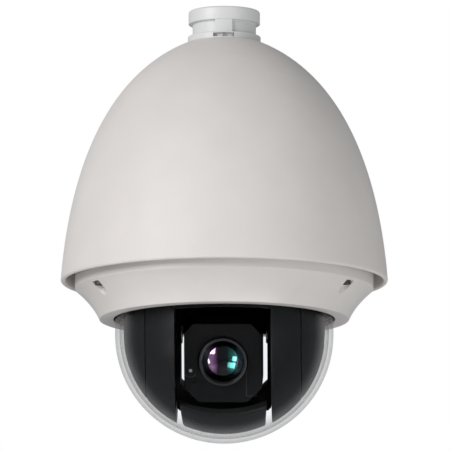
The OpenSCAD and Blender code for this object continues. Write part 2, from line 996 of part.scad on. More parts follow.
module yoke_arm() {
    difference() {
        union() {
            translate([arm_in, -arm_w / 2, z_axis])
                cube([arm_t, arm_w, z_table - z_axis]);
            translate([arm_in - 1, -arm_w / 2, z_table - 3])
                cube([14, arm_w, 3]);
            along_x(arm_in)
                cylinder(r = arm_w / 2, h = arm_t);
        }
        along_x(arm_in - 1)
            cylinder(r = bushing_r, h = arm_t + 2);
    }
}

module yoke_left() {
    color(cast_grey)
        mirror([1, 0, 0])
            yoke_arm();
}

module yoke_right() {
    color(cast_grey)
        difference() {
            union() {
                yoke_arm();
                for (y = [-9.5, 9.5])
                    translate([arm_in, y, z_axis + tilt_motor_up + 6])
                        rotate([0, 90, 0])
                            cylinder(r = 2.2, h = tilt_motor_x - arm_in);
            }
            along_x(arm_in - 1)
                cylinder(r = bushing_r, h = arm_t + 2);
        }
}

module tilt_bushings() {
    color([0.8, 0.65, 0.35])
        for (side = [0, 1])
            mirror([side, 0, 0])
                along_x(arm_in - 0.6)
                    difference() {
                        union() {
                            cylinder(r = bushing_r + 1.5, h = 0.6);
                            cylinder(r = bushing_r, h = arm_t + 0.6);
                        }
                        translate([0, 0, -1])
                            cylinder(r = pin_r + run_fit, h = arm_t + 3);
                    }
}

module shroud_body(r) {
    translate([0, 0, z_axis]) {
        sphere(r = r);
        cylinder(r = r, h = z_shroud_top - z_axis);
    }
}

module slab(x_low, x_high) {
    translate([x_low, -big / 2, z_axis - big / 2])
        cube([x_high - x_low, big, big]);
}

module cheek() {
    difference() {
        intersection() {
            shroud_body(shroud_r);
            slab(slot_half, cap_x - part_gap);
            translate([-big / 2, -big / 2, -big])
                cube([big, big, big + z_shroud_top]);
        }
        intersection() {
            translate([0, 0, z_axis]) {
                sphere(r = shroud_in_r);
                cylinder(r = shroud_in_r, h = z_shroud_top - z_axis + 1);
            }
            slab(slot_half + shroud_wall, cap_x + 1);
        }
        along_x(slot_half - 1)
            cylinder(r = pin_r + 2, h = shroud_wall + 2);
    }
}

module cheek_right() {
    color(black)
        cheek();
}

module cheek_left() {
    color(black)
        mirror([1, 0, 0])
            cheek();
}

module side_cap() {
    difference() {
        intersection() {
            shroud_body(shroud_r);
            slab(cap_x + part_gap, shroud_r + 1);
            translate([-big / 2, -big / 2, -big])
                cube([big, big, big + z_shroud_top]);
        }
        translate([0, 0, z_axis]) {
            sphere(r = shroud_in_r);
            cylinder(r = shroud_in_r, h = z_shroud_top - z_axis + 1);
        }
    }
}

module side_cap_right() {
    color(black)
        side_cap();
}

module side_cap_left() {
    color(black)
        mirror([1, 0, 0])
            side_cap();
}

module shroud_frame() {
    color(black) {
        ring(shroud_r, frame_in_r, z_shroud_top, z_shroud_top + frame_t);
        intersection() {
            ring(shroud_r, shroud_in_r, z_bridge, z_shroud_top + eps);
            slab(-slot_half + part_gap, slot_half - part_gap);
        }
        around(4, 60, 45)
            translate([0, 0, z_shroud_top + frame_t - eps])
                cylinder(r = 4, h = z_table - z_shroud_top - frame_t + eps);
    }
}

module tilt_motor() {
    color(steel)
        translate([0, 0, tilt_motor_up])
            along_x(tilt_motor_x)
                difference() {
                    cylinder(r = tilt_motor_r, h = tilt_motor_h);
                    translate([0, 0, -1])
                        cylinder(r = tilt_shaft_r + run_fit, h = tilt_motor_wall + 2);
                    translate([0, 0, tilt_motor_wall])
                        cylinder(r = tilt_rotor_r + rotor_clear, h = tilt_motor_h - 2 * tilt_motor_wall);
                }
}

module tilt_motor_pulley() {
    color(steel)
        translate([0, 0, tilt_motor_up])
            along_x(tilt_pulley_x - 0.5) {
                toothed_disc(tilt_motor_teeth, tilt_motor_pulley_r, belt_w + 1);
                cylinder(r = tilt_shaft_r, h = tilt_motor_x - tilt_pulley_x + 0.5 + tilt_motor_wall + 1);
                translate([0, 0, tilt_motor_x - tilt_pulley_x + 0.5 + tilt_motor_wall + rotor_clear])
                    cylinder(r = tilt_rotor_r, h = tilt_rotor_h);
            }
}

module tilt_belt() {
    color(rubber_black)
        along_x(tilt_pulley_x)
            rotate([0, 0, 180])
                belt(tilt_pulley_r, tilt_motor_pulley_r, tilt_motor_up);
}

// ---------------------------------------------------------------- camera head

// Front view of the camera block, shrunk by s all round
module block_outline(s) {
    half = block_w / 2 - s;
    top = block_up - s;
    low = -block_down + s;
    polygon([
        [-half + corner_low, low], [half - corner_low, low],
        [half, low + corner_low], [half, top - corner_right],
        [half - corner_right, top], [-half + corner_left, top],
        [-half, top - corner_left], [-half, low + corner_low]
    ]);
}

// Extrudes a front view backwards from y_front to y_back in the camera's own axes
module front_view(y_front, y_back) {
    translate([0, y_back, 0])
        rotate([90, 0, 0])
            linear_extrude(height = y_back - y_front)
                children();
}

module face_plate() {
    color(black)
        camera_frame()
            difference() {
                front_view(-face_y, -face_y + face_t)
                    block_outline(0);
                front_view(-face_y - 1, -face_y + face_t + 1)
                    translate([0, -lens_drop])
                        circle(r = lens_r + 0.4);
                front_view(-face_y - 1, -face_y + 1.2)
                    translate([-19.2, -24.6])
                        circle(r = 1.6);
            }
}

module camera_case() {
    color(black)
        camera_frame()
            difference() {
                front_view(-face_y + face_t, case_y)
                    block_outline(0);
                front_view(-face_y + face_t + block_wall, case_y + 1)
                    block_outline(block_wall);
                front_view(-face_y, -face_y + face_t + block_wall + 1)
                    translate([0, -lens_drop])
                        circle(r = lens_r + 0.4);
            }
}

module rear_case() {
    color([0.13, 0.13, 0.14])
        camera_frame()
            difference() {
                front_view(case_y, back_y)
                    block_outline(1);
                front_view(case_y - 1, back_y - block_wall)
                    block_outline(1 + block_wall);
                for (x = [-12:4:12])
                    translate([x - 1, back_y - block_wall - 1, -24])
                        cube([2, block_wall + 2, 20]);
            }
}

// U-shaped bracket that holds the block under its lower corners
module cradle() {
    color(black)
        camera_frame()
            difference() {
                union() {
                    front_view(-cradle_front, cradle_back)
                        cradle_section();
                    for (side = [0, 1])
                        mirror([side, 0, 0])
                            translate([cradle_in, 0, 0])
                                rotate([0, 90, 0])
                                    cylinder(r = cradle_back, h = cradle_t);
                }
                translate([-cradle_out - 1, 0, 0])
                    rotate([0, 90, 0])
                        cylinder(r = pin_r, h = 2 * cradle_out + 2);
            }
}

module cradle_section() {
    for (side = [0, 1])
        mirror([side, 0])
            polygon([
                [0, -block_down - cradle_foot_t],
                [cradle_out - cradle_corner, -block_down - cradle_foot_t],
                [cradle_out, -block_down - cradle_foot_t + cradle_corner], [cradle_out, 0],
                [cradle_in, 0], [cradle_in, -block_down + cradle_brace],
                [cradle_in - cradle_brace, -block_down], [0, -block_down]
            ]);
}

module trunnions() {
    color(steel)
        for (side = [0, 1])
            mirror([side, 0, 0])
                along_x(cradle_in - 1.2) {
                    cylinder(r = pin_r, h = pin_end_x - cradle_in + 1.2);
                    cylinder(r = pin_r + 2, h = 1.2);
                }
}

module tilt_pulley() {
    color(steel)
        camera_frame()
            translate([tilt_pulley_x, 0, 0])
                rotate([0, 90, 0])
                    difference() {
                        toothed_disc(tilt_teeth, tilt_pulley_r, belt_w);
                        translate([0, 0, -1])
                            cylinder(r = pin_r, h = belt_w + 2);
                    }
}

// Curved lower cover of the camera head: a hollow section turned about the tilt axis, with a front wall
module chin_cover() {
    color(black)
        camera_frame() {
            intersection() {
                union() {
                    chin_turn(chin_sweep)
                        difference() {
                            chin_section();
                            intersection() {
                                circle(r = chin_r - chin_t);
                                translate([0, -chin_w / 2 + chin_taper + chin_t])
                                    square([big, chin_w - 2 * chin_taper - 2 * chin_t]);
                            }
                        }
                    chin_turn(chin_lip_angle)
                        chin_section();
                }
                front_view(-big, big)
                    chin_front();
            }
            for (side = [-1, 1])
                translate([side * chin_post_x, chin_post_y, -chin_r + 3.2])
                    cylinder(r = chin_post_r, h = chin_r - 3.2 - block_down - cradle_foot_t);
        }
}

// Front view of the chin, which is narrower at the bottom than at its lip
module chin_front() {
    z_lip = -chin_r * sin(chin_start);
    half = chin_w / 2;
    polygon([
        [-half, 0], [-half, z_lip], [-half + chin_taper, -chin_r],
        [half - chin_taper, -chin_r], [half, z_lip], [half, 0]
    ]);
}

module chin_turn(sweep) {
    rotate([chin_start - 90, 0, 0])
        rotate([0, 90, 0])
            rotate_extrude(angle = sweep)
                children();
}

// Section through the chin, with the tilt axis upright at its left
module chin_section() {
    difference() {
        intersection() {
            circle(r = chin_r);
            translate([0, -chin_w / 2])
                square([big, chin_w]);
        }
        circle(r = chin_in_r);
    }
}

module lens_barrel() {
    front = face_y + lens_out;
    color([0.14, 0.14, 0.15])
        on_lens_axis(-front)
            difference() {
                union() {
                    cylinder(r = lens_r, h = lens_out + face_t + block_wall + 3);
                    cylinder(r = barrel_in_r + barrel_wall, h = front - barrel_back);
                    translate([0, 0, lens_out + face_t + block_wall])
                        cylinder(r = lens_r + 2.4, h = 2);
                }
                translate([0, 0, -1])
                    cylinder(r = front_lens_r, h = 7);
                translate([0, 0, -eps])
                    cylinder(r1 = lens_r - 1.2, r2 = front_lens_r, h = 2);
                translate([0, 0, 5])
                    cylinder(r = front_lens_r - 1.6, h = 5);
                translate([0, 0, 8])
                    cylinder(r = barrel_in_r, h = front - barrel_back - 10);
                translate([0, 0, 7])
                    cylinder(r = 8, h = 100);
            }
}

module front_lens() {
    bulge = 5.4;
    ball = (front_lens_r * front_lens_r + bulge * bulge) / (2 * bulge);
    color([0.35, 0.45, 0.6, 0.6])
        on_lens_axis(-face_y - lens_out)
            intersection() {
                translate([0, 0, ball + 0.6])
                    sphere(r = ball);
                translate([0, 0, -5])
                    cylinder(r = front_lens_r, h = 11);
            }
}

module guide_rods() {
    span = face_y + lens_out - barrel_back - 10;
    color(steel)
        on_lens_axis(-face_y - lens_out + 8)
            for (side = [-1, 1])
                translate([side * rod_x, 0, 0])
                    cylinder(r = rod_r, h = span);
}

module lens_cell(y, glass_r) {
    on_lens_axis(y)
        difference() {
            cylinder(r = cell_r, h = 4);
            for (side = [-1, 1])
                translate([side * rod_x, 0, -1])
                    cylinder(r = rod_r + run_fit, h = 6);
            for (z = [-glass_r * 3 + 1, 3 + glass_r * 3])
                translate([0, 0, z])
                    sphere(r = glass_r * 3);
        }
}

module zoom_cell() {
    color([0.3, 0.3, 0.32])
        lens_cell(-38, 6);
}

module focus_cell() {
    color([0.3, 0.3, 0.32])
        lens_cell(-22, 5);
}

module filter_guide() {
    color([0.2, 0.2, 0.22])
        camera_frame()
            translate([0, 0, -lens_drop])
                difference() {
                    translate([-18, -barrel_back, -9])
                        cube([36, 4, 18]);
                    translate([-17, -barrel_back + 1.2, -6.2])
                        cube([36, 1.6, 12.4]);
                    translate([0, -barrel_back - 1, 0])
                        rotate([-90, 0, 0])
                            cylinder(r = 5, h = 6);
                }
}

module ir_cut_filter() {
    color([0.7, 0.3, 0.4, 0.7])
        camera_frame()
            translate([-7, -barrel_back + 1.5, -lens_drop - 5.8])
                cube([14, 1, 11.6]);
}

module sensor_board() {
    color(board_green)
        camera_frame()
            union() {
                intersection() {
                    front_view(sensor_y, sensor_y + board_t)
                        block_outline(block_wall);
                    translate([-big / 2, sensor_y, -lens_drop - sensor_board_half])
                        cube([big, board_t, 2 * sensor_board_half]);
                }
                translate([-5, sensor_y - sensor_t, -lens_drop - 4])
                    cube([10, sensor_t + eps, 8]);
            }
}

// Assembly
mount_neck();
neck_nut();
shield_spacer();
cable_gland();
lock_screws();
sun_shield();
inner_housing();
housing_gasket();
lower_cover();
cover_screws();
dome_bubble();
dome_gasket();
dome_clamp_ring();
clamp_screws();
base_plate();
base_screws();
board_standoffs();
power_board();
capacitors();
main_board();
main_chips();
fan_frame();
heater();
pan_bearing_outer();
pan_bearing_balls();
pan_motor();
pan_belt();
slip_ring_body();
pan_motor_pulley();
fan_rotor();
turntable();
pan_bearing_inner();
pan_pulley();
slip_ring_rotor();
yoke_left();
yoke_right();
shroud_frame();
cheek_left();
cheek_right();
side_cap_left();
side_cap_right();
tilt_bushings();
tilt_motor();
tilt_belt();
tilt_motor_pulley();
cradle();
trunnions();
tilt_pulley();
face_plate();
camera_case();
rear_case();
chin_cover();
lens_barrel();
front_lens();
guide_rods();
sensor_board();
filter_guide();
zoom_cell();
focus_cell();
ir_cut_filter();
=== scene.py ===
import json
import math

import bmesh
import bpy
import numpy as np
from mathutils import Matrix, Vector


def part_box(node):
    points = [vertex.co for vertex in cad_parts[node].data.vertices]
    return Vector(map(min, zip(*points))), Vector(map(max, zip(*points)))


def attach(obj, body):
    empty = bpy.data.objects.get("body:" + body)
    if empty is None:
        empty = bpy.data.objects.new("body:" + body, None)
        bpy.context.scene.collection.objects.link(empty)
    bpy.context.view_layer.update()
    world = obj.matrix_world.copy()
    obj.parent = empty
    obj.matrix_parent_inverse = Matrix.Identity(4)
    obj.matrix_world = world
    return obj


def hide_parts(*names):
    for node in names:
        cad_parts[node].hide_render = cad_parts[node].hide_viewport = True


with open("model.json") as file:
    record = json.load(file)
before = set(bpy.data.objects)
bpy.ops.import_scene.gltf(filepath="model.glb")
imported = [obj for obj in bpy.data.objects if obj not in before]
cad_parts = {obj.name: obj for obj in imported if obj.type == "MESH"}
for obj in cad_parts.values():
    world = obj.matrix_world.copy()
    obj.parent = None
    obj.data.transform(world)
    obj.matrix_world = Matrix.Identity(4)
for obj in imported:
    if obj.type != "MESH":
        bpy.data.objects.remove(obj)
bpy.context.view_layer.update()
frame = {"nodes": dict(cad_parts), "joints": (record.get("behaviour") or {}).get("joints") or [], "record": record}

# The looks of a pendant pan-tilt-zoom dome camera. Everything is in metres, in the frame of the CAD model:
# +Z up along the pan axis, -Y the front, and the origin at the centre of the neck's top face.

MM = 0.001
NODES = frame["nodes"]
WELD = 0.002 * MM
RECORD = frame["record"]
SLOT_OF = {entry["node"]: entry["material_slot"] for entry in RECORD["subparts"]}
BODY_OF = {node: body for body, members in RECORD["behaviour"]["bodies"].items() for node in members}
MADE = set()


def box_array(node):
    """Lowest and highest corner of a CAD node as one 2 by 3 array."""
    return np.array([list(corner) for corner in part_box(node)])


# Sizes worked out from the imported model
shield_box = box_array("sun_shield")
cover_box = box_array("lower_cover")
dome_box = box_array("dome_bubble")
cheek_box = box_array("cheek_right")
cap_box = box_array("side_cap_right")

tilt_joint = next(j for j in frame["joints"] if j["name"] == "tilt")
AXIS_Z = tilt_joint["pos_m"][2]
zoom_joint = next(j for j in frame["joints"] if j["name"] == "zoom_slide")
REST_TILT = math.asin(zoom_joint["axis"][2])
LENS_DROP = 12 * MM
LENS_FRONT = 49.4 * MM
DOME_R = AXIS_Z - dome_box[0, 2]
DOME_WALL = 3 * MM
SHROUD_R = DOME_R - DOME_WALL - 2.8 * MM
SHROUD_WALL = 2.2 * MM

# ------------------------------------------------------------------ meshes


def piece_for(node, points, faces, sharp=32.0):
    """A surface that stands for a CAD node: welds doubled points, drops faces with no area, turns faces outwards,
    and shades it smooth except at edges sharper than the given angle in degrees."""
    mesh = bpy.data.meshes.new(node + "_surface")
    mesh.from_pydata(np.asarray(points).reshape(-1, 3).tolist(), [], [list(face) for face in faces])
    work = bmesh.new()
    work.from_mesh(mesh)
    bmesh.ops.remove_doubles(work, verts=work.verts, dist=WELD)
    bmesh.ops.dissolve_degenerate(work, edges=work.edges, dist=WELD)
    bmesh.ops.recalc_face_normals(work, faces=work.faces)
    work.to_mesh(mesh)
    work.free()
    return finish_piece(node, mesh, PAINTS[SLOT_OF[node]], sharp)


def finish_piece(node, mesh, paint, sharp):
    """Shades a mesh smooth with sharp edges kept, and puts it into the scene in the place of a CAD node, on that
    node's body and with the given paint."""
    mesh.shade_smooth()
    mesh.set_sharp_from_angle(angle=math.radians(sharp))
    mesh.materials.clear()
    mesh.materials.append(paint)
    piece = bpy.data.objects.new(mesh.name, mesh)
    bpy.context.scene.collection.objects.link(piece)
    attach(piece, BODY_OF[node])
    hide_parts(node)
    MADE.add(node)
    return piece


def grid_faces(rows, columns, close_rows=False, close_columns=False):
    """Quads of a grid whose points are numbered row by row; either direction can run round to its start."""
    last_row = rows if close_rows else rows - 1
    last_column = columns if close_columns else columns - 1
    i, j = np.meshgrid(np.arange(last_row), np.arange(last_column), indexing="ij")
    below, right = (i + 1) % rows, (j + 1) % columns
    quads = np.stack([i * columns + j, i * columns + right, below * columns + right, below * columns + j], -1)
    return quads.reshape(-1, 4)


def revolve(outline, steps=192, close=True):
    """Surface of revolution about Z: each outline point (r, z) goes round as (r cos a, r sin a, z)."""
    outline = np.asarray(outline)
    angle = np.linspace(0, 2 * math.pi, steps, endpoint=False)
    r, z = outline[:, 0][:, None], outline[:, 1][:, None]
    points = np.stack([r * np.cos(angle), r * np.sin(angle), z + 0 * angle], -1)
    return points, grid_faces(len(outline), steps, close_rows=close, close_columns=True)


def joined(*surfaces):
    """Several surfaces, each given as points and faces, as one list of points and one list of faces."""
    points, faces, first = [], [], 0
    for surface_points, surface_faces in surfaces:
        flat = np.asarray(surface_points).reshape(-1, 3)
        points.append(flat)
        faces += [[int(corner) + first for corner in face] for face in surface_faces]
        first += len(flat)
    return np.concatenate(points), faces


def rounded(corners, radius, steps=6):
    """Closed outline whose corners are replaced by arcs. A corner's arc touches both of its sides at
    radius / tan(half the corner angle) from it. radius is one number or one for each corner."""
    corners = np.asarray(corners, float)
    radius = np.broadcast_to(radius, len(corners))
    outline = []
    for k, corner in enumerate(corners):
        to_last = corners[k - 1] - corner
        to_next = corners[(k + 1) % len(corners)] - corner
        to_last, to_next = to_last / np.linalg.norm(to_last), to_next / np.linalg.norm(to_next)
        half = math.acos(float(np.clip(to_last @ to_next, -1, 1))) / 2
        if radius[k] <= 0 or half > math.radians(89):
            outline.append(corner[None])
            continue
        middle = (to_last + to_next) / np.linalg.norm(to_last + to_next)
        centre = corner + middle * radius[k] / math.sin(half)
        start = corner + to_last * radius[k] / math.tan(half) - centre
        end = corner + to_next * radius[k] / math.tan(half) - centre
        t = np.linspace(0, 1, steps + 1)[:, None]
        span = math.pi - 2 * half
        outline.append(centre + (np.sin((1 - t) * span) * start + np.sin(t * span) * end) / math.sin(span))
    return np.concatenate(outline)


def arc(centre, radius, start, end, steps):
    """Points on a circle from one angle to another, in degrees."""
    angle = np.radians(np.linspace(start, end, steps + 1))
    return np.asarray(centre) + radius * np.stack([np.cos(angle), np.sin(angle)], -1)


def bezier(controls, steps):
    """Bezier curve of degree 2 or 3: each control point weighted by its Bernstein polynomial."""
    controls = np.asarray(controls, float)
    degree = len(controls) - 1
    t = np.linspace(0, 1, steps + 1)[:, None]
    return sum(math.comb(degree, k) * (1 - t) ** (degree - k) * t ** k * p for k, p in enumerate(controls))


def inset(curve, distance):
    """The same curve moved sideways by distance, along the normal of its own slope."""
    slope = np.gradient(curve, axis=0)
    slope /= np.linalg.norm(slope, axis=1)[:, None]
    return curve + distance * np.stack([slope[:, 1], -slope[:, 0]], -1)


def tilted(points):
    """Points given in the camera head's own axes, turned down by the rest angle about the tilt axis."""
    points = np.asarray(points, float)
    c, s = math.cos(REST_TILT), math.sin(REST_TILT)
    x, y, z = points[..., 0], points[..., 1], points[..., 2]
    return np.stack([x, y * c - z * s, y * s + z * c + AXIS_Z], -1)


# ------------------------------------------------------------------ shader arithmetic


class Wire:
    """A shader socket that can be used in sums; each operator adds one Math node."""

    def __init__(self, paint, socket):
        self.paint, self.socket = paint, socket

    def _math(self, operation, *values):
        return self.paint.node("ShaderNodeMath", {"operation": operation}, dict(enumerate(values)))

    def __add__(self, other):
        return self._math("ADD", self, other)

    def __radd__(self, other):
        return self._math("ADD", other, self)

    def __sub__(self, other):
        return self._math("SUBTRACT", self, other)

    def __rsub__(self, other):
        return self._math("SUBTRACT", other, self)

    def __mul__(self, other):
        return self._math("MULTIPLY", self, other)

    def __rmul__(self, other):
        return self._math("MULTIPLY", other, self)

    def __pow__(self, other):
        return self._math("POWER", self, other)


class Paint:
    """One material under construction: a node tree with a method that adds any node."""

    def __init__(self, name):
        self.material = bpy.data.materials.new(name)
        self.material.use_nodes = True
        self.tree = self.material.node_tree
        self.tree.nodes.clear()
        self.output = self.tree.nodes.new("ShaderNodeOutputMaterial")
        self.place = self.node("ShaderNodeTexCoord", {}, {}, "Object")

    def node(self, kind, settings, inputs, output=0):
        """Adds a node, sets its settings and then its inputs, and returns one of its outputs."""
        made = self.tree.nodes.new(kind)
        for key, value in settings.items():
            if key == "ramp":
                ramp = made.color_ramp
                while len(ramp.elements) < len(value):
                    ramp.elements.new(0.5)
                for element, (position, colour) in zip(ramp.elements, value):
                    element.position, element.color = position, (*colour, 1)
            else:
                setattr(made, key, value)
        for key, value in inputs.items():
            if isinstance(value, Wire):
                self.tree.links.new(value.socket, made.inputs[key])
            else:
                made.inputs[key].default_value = value
        return Wire(self, made.outputs[output])

    def noise(self, scale, detail=2.0, roughness=0.5, place=None):
        return self.node("ShaderNodeTexNoise", {}, {
            "Vector": place or self.place, "Scale": scale, "Detail": detail, "Roughness": roughness})

    def ramp(self, factor, *stops):
        """Colour ramp through stops of (position, colour)."""
        return self.node("ShaderNodeValToRGB", {"ramp": stops}, {0: factor}, "Color")

    def grey(self, factor, low, high, low_value, high_value):
        """Maps factor from low..high to low_value..high_value, held at both ends."""
        return self.node("ShaderNodeMapRange", {}, {
            0: factor, 1: low, 2: high, 3: low_value, 4: high_value})

    def mix(self, factor, a, b):
        """Blend of two colours."""
        inputs = {0: factor, 6: a if isinstance(a, Wire) else (*a, 1), 7: b if isinstance(b, Wire) else (*b, 1)}
        return self.node("ShaderNodeMix", {"data_type": "RGBA"}, inputs, 2)

    def bump(self, height, depth):
        """Surface relief: height from 0 to 1 stands for depth metres."""
        return self.node("ShaderNodeBump", {}, {"Height": height, "Distance": depth, "Strength": 1.0})

    def turned(self, location=(0, 0, 0), rotation=(0, 0, 0), scale=(1, 1, 1)):
        """Object coordinates moved, turned and scaled."""
        return self.node("ShaderNodeMapping", {}, {
            "Vector": self.place, "Location": location, "Rotation": rotation, "Scale": scale})

    def in_head(self):
        """Object coordinates in the camera head's own axes, counted from the tilt axis."""
        c, s = math.cos(REST_TILT), math.sin(REST_TILT)
        return self.turned(location=(0, -AXIS_Z * s, -AXIS_Z * c), rotation=(-REST_TILT, 0, 0))

    def band(self, value, middle, half, soft):
        """1 where value lies within half of middle, falling to 0 over soft beyond that."""
        off = self.node("ShaderNodeMath", {"operation": "ABSOLUTE"}, {0: value - middle})
        return self.grey(off, half, half + soft, 1, 0)

    def axes(self, vector):
        """The x, y and z of a vector."""
        return [self.node("ShaderNodeSeparateXYZ", {}, {0: vector}, k) for k in range(3)]

    def principled(self, **values):
        """Principled shader. Each keyword names an input, with an underscore for each space."""
        inputs = {key.replace("_", " "): value for key, value in values.items()}
        return self.node("ShaderNodeBsdfPrincipled", {}, inputs)

    def done(self, shader):
        """Joins the finished shader to the material's output."""
        self.tree.links.new(shader.socket, self.output.inputs["Surface"])
        return self.material


# ------------------------------------------------------------------ materials


def moulded(name, colour, roughness, grain, depth, spread=0.06, dust=0.0, gloss=0.5):
    """Painted or moulded surface: fine grain in relief, soft patches of tone and gloss, and a little dust."""
    p = Paint(name)
    fine = p.noise(1000 / grain, 3, 0.6)
    patches = p.noise(38, 4, 0.55)
    tone = p.grey(patches, 0.3, 0.7, 1 - spread, 1 + spread)
    light = [min(1.0, c * (1 + spread)) for c in colour]
    dark = [c * (1 - spread) for c in colour]
    base = p.mix(p.grey(patches, 0.3, 0.7, 0, 1), dark, light)
    if dust:
        specks = p.grey(p.noise(2600, 2, 0.7), 0.66, 0.74, 0, dust)
        base = p.mix(specks, base, (0.30, 0.29, 0.28))
    rough = roughness * tone + p.grey(fine, 0.3, 0.7, -0.03, 0.03)
    return p.done(p.principled(
        Base_Color=base, Roughness=rough, Normal=p.bump(fine, depth * MM), Specular_IOR_Level=gloss))


def machined(name, colour, roughness, direction=(1, 1, 60), spread=0.12):
    """Bare metal with fine tool marks drawn out along two axes."""
    p = Paint(name)
    marks = p.noise(120, 3, 0.65, p.turned(scale=direction))
    patches = p.noise(90, 3)
    base = p.mix(p.grey(patches, 0.3, 0.7, 0, 1), [c * (1 - spread) for c in colour], colour)
    rough = roughness + p.grey(marks, 0.3, 0.7, -0.06, 0.08)
    return p.done(p.principled(Base_Color=base, Metallic=1.0, Roughness=rough, Normal=p.bump(marks, 0.01 * MM)))


def circuit():
    """Green solder mask over copper tracks, which a grid of stretched noise cells gives."""
    p = Paint("circuit_board")
    along = p.grey(p.noise(260, 1, 0.4, p.turned(scale=(1, 7, 1))), 0.50, 0.53, 0, 1)
    across = p.grey(p.noise(260, 1, 0.4, p.turned(scale=(7, 1, 1))), 0.52, 0.55, 0, 1)
    tracks = p.node("ShaderNodeMath", {"operation": "MAXIMUM"}, {0: along, 1: across})
    base = p.mix(tracks, (0.012, 0.10, 0.035), (0.03, 0.20, 0.075))
    return p.done(p.principled(Base_Color=base, Roughness=0.32, Normal=p.bump(tracks, 0.03 * MM)))


def clear_dome():
    """Clear polycarbonate: seen through squarely, and a pale grey gloss that grows towards its edge."""
    p = Paint("clear_dome")
    seen = p.node("ShaderNodeBsdfTransparent", {}, {"Color": (0.97, 0.975, 0.98, 1)})
    haze = p.noise(60, 3)
    gloss = p.node("ShaderNodeBsdfGlossy", {}, {
        "Color": (0.94, 0.91, 0.90, 1), "Roughness": 0.02, "Normal": p.bump(haze, 0.004 * MM)})
    edge = p.node("ShaderNodeLayerWeight", {}, {"Blend": 0.5}, "Facing")
    share = p.grey(edge, 0.50, 0.86, 0, 0.42)
    return p.done(p.node("ShaderNodeMixShader", {}, {0: share, 1: seen, 2: gloss}))


def coated_lens():
    """Dark glass with a thin coating; being metallic, its base colour tints everything it reflects. The tint runs
    from violet on the left to teal on the right and carries painted reflections: near-white bands at the far left
    and right where the lamps' highlights fall, and a painted dark middle. It is also painted dark towards the top
    and bottom. Faint rings of the lens groups behind show towards the bottom."""
    p = Paint("lens_glass")
    x, _, z = p.axes(p.in_head())
    up = z + LENS_DROP
    away = (x * x + up * up) ** 0.5
    rings = p.band(away, 0.0090, 0.0002, 0.0004) + p.band(away, 0.0112, 0.0003, 0.0004)
    # Coating tint across the lens with painted highlights: near-white where the lamps' reflections fall,
    # near-black in the middle.
    coating_tint_and_painted_highlights = p.ramp(p.grey(x, -0.014, 0.014, 0, 1), (0.0, (0.10, 0.10, 0.16)), (0.10, (0.45, 0.46, 0.56)),
                  (0.24, (0.60, 0.28, 0.60)), (0.38, (0.020, 0.008, 0.020)), (0.60, (0.006, 0.020, 0.022)),
                  (0.74, (0.03, 0.28, 0.25)), (0.88, (0.36, 0.58, 0.64)), (1.0, (0.10, 0.08, 0.20)))
    # Painted reflection: the tint shows only in a band across the middle, with dark glass below it and mostly
    # above it.
    painted_reflection_band = p.grey(up, -0.009, -0.003, 0, 1) * p.grey(up, 0.006, 0.011, 1, 0.12)
    painted_reflection = p.mix(painted_reflection_band, (0.005, 0.009, 0.010), coating_tint_and_painted_highlights)
    base = p.mix(rings * 0.30, painted_reflection, (0.03, 0.04, 0.05))
    clean = p.noise(120, 2)
    return p.done(p.principled(Base_Color=base, Metallic=1.0, Roughness=p.grey(clean, 0.3, 0.7, 0.08, 0.10),
                               Coat_Weight=0.5, Coat_Roughness=0.02, Coat_IOR=1.5))


def face_plastic():
    """Matt black plastic of the camera's face: two fine parting lines and an arc under a small screw, cut in as
    grooves and coloured lighter than the face as a painted highlight along them, and the screw's bright head."""
    p = Paint("face_plastic")
    x, _, z = p.axes(p.in_head())
    fine = p.noise(2600, 3, 0.6)
    upright = p.band(x, 0.0155, 0.00012, 0.00012) * p.band(z, -0.0268, 0.0084, 0.0002)
    level = p.band(x, 0.0182, 0.0028, 0.0002) * p.band(z, -0.0353, 0.00012, 0.00012)
    across, up = x + 0.0217, z + 0.0182
    away = (across * across + up * up) ** 0.5
    under = p.grey(up, -0.0028, -0.0020, 1, 0)
    arc_line = p.band(away, 0.0044, 0.00012, 0.00015) * under
    head = p.grey(away, 0.0010, 0.0012, 1, 0)
    grooves_with_painted_highlight = upright + level + arc_line
    # The grooves are coloured lighter than the black face: a painted highlight where their edges catch light.
    base = p.mix(grooves_with_painted_highlight, p.mix(head, (0.0060, 0.0060, 0.0064), (0.45, 0.45, 0.44)), (0.05, 0.05, 0.05))
    relief = fine * 0.03 + (1 - grooves_with_painted_highlight)
    return p.done(p.principled(Base_Color=base, Metallic=head, Roughness=0.50 - 0.2 * head,
                               Specular_IOR_Level=0.12, Normal=p.bump(relief, 0.15 * MM)))


def filter_glass():
    """Thin reddish glass with a faint sheen of coating."""
    p = Paint("filter_glass")
    patches = p.noise(500, 2)
    base = p.mix(patches, (0.45, 0.12, 0.16), (0.55, 0.22, 0.30))
    return p.done(p.principled(Base_Color=base, Roughness=0.06, Alpha=0.6, Coat_Weight=0.6))


